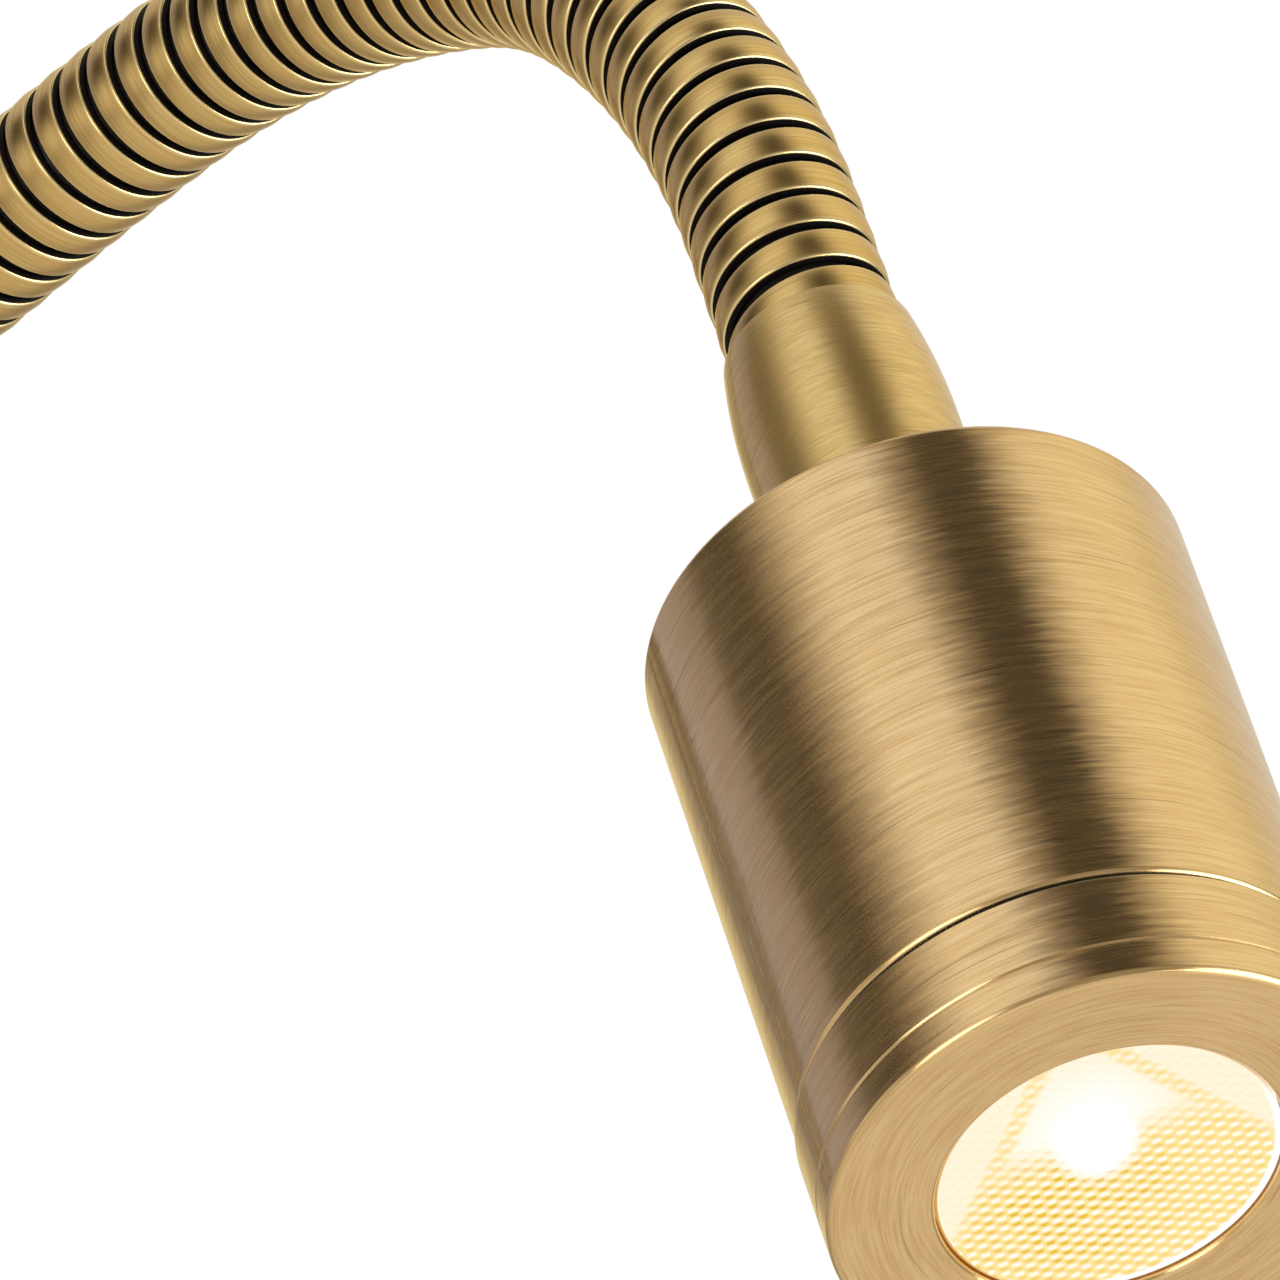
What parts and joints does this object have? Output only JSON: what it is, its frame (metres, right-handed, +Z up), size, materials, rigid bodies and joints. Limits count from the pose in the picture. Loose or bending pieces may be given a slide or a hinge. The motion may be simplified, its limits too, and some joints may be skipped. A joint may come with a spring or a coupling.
{
  "type": "wall spotlight",
  "caption": "Small cylindrical LED spotlight in brushed antique brass on a wound gooseneck that bends and stays put, with a round wall canopy and a push switch.",
  "frame": {"origin": "centre of the wall plate, on its back face, midway between its two screw holes", "axes": "+Z up, +Y into the wall, so the lamp stands out towards -Y; +X to the right of someone who faces the wall"},
  "size_m": [0.084, 0.2869, 0.1489],
  "materials": {
    "brushed_brass": "antique brass, turned and brushed round the axis, clear lacquer",
    "gooseneck_brass": "antique brass plated band, wound",
    "zinc_steel": "zinc plated",
    "black_plastic": "moulded",
    "pale_plastic": "moulded",
    "aluminium": "turned",
    "silicone": "moulded",
    "lead_sheath": "extruded sheath",
    "wire_insulation": "extruded insulation",
    "optical_lens": "clear moulded optic with a fine lens pattern on its front, lit",
    "emitter": "phosphor under a clear dome, lit"
  },
  "bodies": {
    "wall_base": {"wall_plate": "zinc_steel", "canopy": "brushed_brass", "canopy_screws": "brushed_brass", "base_collar": "brushed_brass", "base_nipple": "zinc_steel", "base_lock_washer": "zinc_steel", "base_locknut": "zinc_steel", "led_driver": "black_plastic", "driver_screws": "zinc_steel", "terminal_block": "pale_plastic", "terminal_screws": "zinc_steel", "earth_screw": "zinc_steel", "switch_body": "black_plastic", "switch_nut": "brushed_brass", "supply_wires": "wire_insulation", "output_wires": "wire_insulation", "gooseneck_01": "gooseneck_brass", "lead_01": "lead_sheath"},
    "switch_button": {"switch_button": "brushed_brass"},
    "neck_02": {"gooseneck_02": "gooseneck_brass", "lead_02": "lead_sheath"},
    "neck_03": {"gooseneck_03": "gooseneck_brass", "lead_03": "lead_sheath"},
    "neck_04": {"gooseneck_04": "gooseneck_brass", "lead_04": "lead_sheath"},
    "neck_05": {"gooseneck_05": "gooseneck_brass", "lead_05": "lead_sheath"},
    "neck_06": {"gooseneck_06": "gooseneck_brass", "lead_06": "lead_sheath"},
    "neck_07": {"gooseneck_07": "gooseneck_brass", "lead_07": "lead_sheath"},
    "neck_08": {"gooseneck_08": "gooseneck_brass", "lead_08": "lead_sheath"},
    "neck_09": {"gooseneck_09": "gooseneck_brass", "lead_09": "lead_sheath"},
    "neck_10": {"gooseneck_10": "gooseneck_brass", "lead_10": "lead_sheath"},
    "neck_11": {"gooseneck_11": "gooseneck_brass", "lead_11": "lead_sheath"},
    "lamp_head": {"gooseneck_12": "gooseneck_brass", "lead_12": "lead_sheath", "head_collar": "brushed_brass", "head_nipple": "zinc_steel", "head_lock_washer": "zinc_steel", "head_locknut": "zinc_steel", "head_body": "brushed_brass", "heat_sink": "aluminium", "thermal_pad": "silicone", "led_board": "aluminium", "led_chip": "emitter", "board_screws": "zinc_steel", "lens_holder": "black_plastic", "lens": "optical_lens", "lens_seal": "silicone", "bezel": "brushed_brass", "head_wires": "wire_insulation"}
  },
  "joints": [
    {"name": "neck_bend_01", "type": "hinge", "parent": "wall_base", "child": "neck_02", "pos_m": [0, -0.0649, 0.00004], "axis": [1, 0, 0], "range_deg": [-30, 30], "deforming": ["gooseneck_01", "lead_01", "gooseneck_02", "lead_02"]},
    {"name": "neck_bend_02", "type": "hinge", "parent": "neck_02", "child": "neck_03", "pos_m": [0, -0.08319, 0.0006], "axis": [0, 0.049, 0.9988], "range_deg": [-30, 30], "deforming": ["gooseneck_02", "lead_02", "gooseneck_03", "lead_03"]},
    {"name": "neck_bend_03", "type": "hinge", "parent": "neck_03", "child": "neck_04", "pos_m": [0, -0.10145, 0.00183], "axis": [-1, 0, 0], "range_deg": [-30, 30], "deforming": ["gooseneck_03", "lead_03", "gooseneck_04", "lead_04"]},
    {"name": "neck_bend_04", "type": "hinge", "parent": "neck_04", "child": "neck_05", "pos_m": [0, -0.11965, 0.00372], "axis": [0, -0.1216, -0.9926], "range_deg": [-30, 30], "deforming": ["gooseneck_04", "lead_04", "gooseneck_05", "lead_05"]},
    {"name": "neck_bend_05", "type": "hinge", "parent": "neck_05", "child": "neck_06", "pos_m": [0, -0.13777, 0.00628], "axis": [1, 0, 0], "range_deg": [-30, 30], "deforming": ["gooseneck_05", "lead_05", "gooseneck_06", "lead_06"]},
    {"name": "neck_bend_06", "type": "hinge", "parent": "neck_06", "child": "neck_07", "pos_m": [0, -0.15578, 0.00949], "axis": [0, 0.1908, 0.9816], "range_deg": [-30, 30], "deforming": ["gooseneck_06", "lead_06", "gooseneck_07", "lead_07"]},
    {"name": "neck_bend_07", "type": "hinge", "parent": "neck_07", "child": "neck_08", "pos_m": [0, -0.17385, 0.01239], "axis": [-1, 0, 0], "range_deg": [-30, 30], "deforming": ["gooseneck_07", "lead_07", "gooseneck_08", "lead_08"]},
    {"name": "neck_bend_08", "type": "hinge", "parent": "neck_08", "child": "neck_09", "pos_m": [0, -0.1921, 0.01223], "axis": [0, 0.1284, -0.9917], "range_deg": [-30, 30], "deforming": ["gooseneck_08", "lead_08", "gooseneck_09", "lead_09"]},
    {"name": "neck_bend_09", "type": "hinge", "parent": "neck_09", "child": "neck_10", "pos_m": [0, -0.20978, 0.0077], "axis": [1, 0, 0], "range_deg": [-30, 14], "deforming": ["gooseneck_09", "lead_09", "gooseneck_10", "lead_10"]},
    {"name": "neck_bend_10", "type": "hinge", "parent": "neck_10", "child": "neck_11", "pos_m": [0, -0.2245, -0.00296], "axis": [0, -0.7194, 0.6946], "range_deg": [-30, 30], "deforming": ["gooseneck_10", "lead_10", "gooseneck_11", "lead_11"]},
    {"name": "neck_bend_11", "type": "hinge", "parent": "neck_11", "child": "lamp_head", "pos_m": [0, -0.2352, -0.01773], "axis": [-1, 0, 0], "range_deg": [-30, 30], "deforming": ["gooseneck_11", "lead_11", "gooseneck_12", "lead_12"]},
    {"name": "switch_press", "type": "slide", "parent": "wall_base", "child": "switch_button", "axis": [0, 1, 0], "range_m": [0, 0.0025], "stiffness_N_per_m": 600, "springref_m": -0.002}
  ]
}
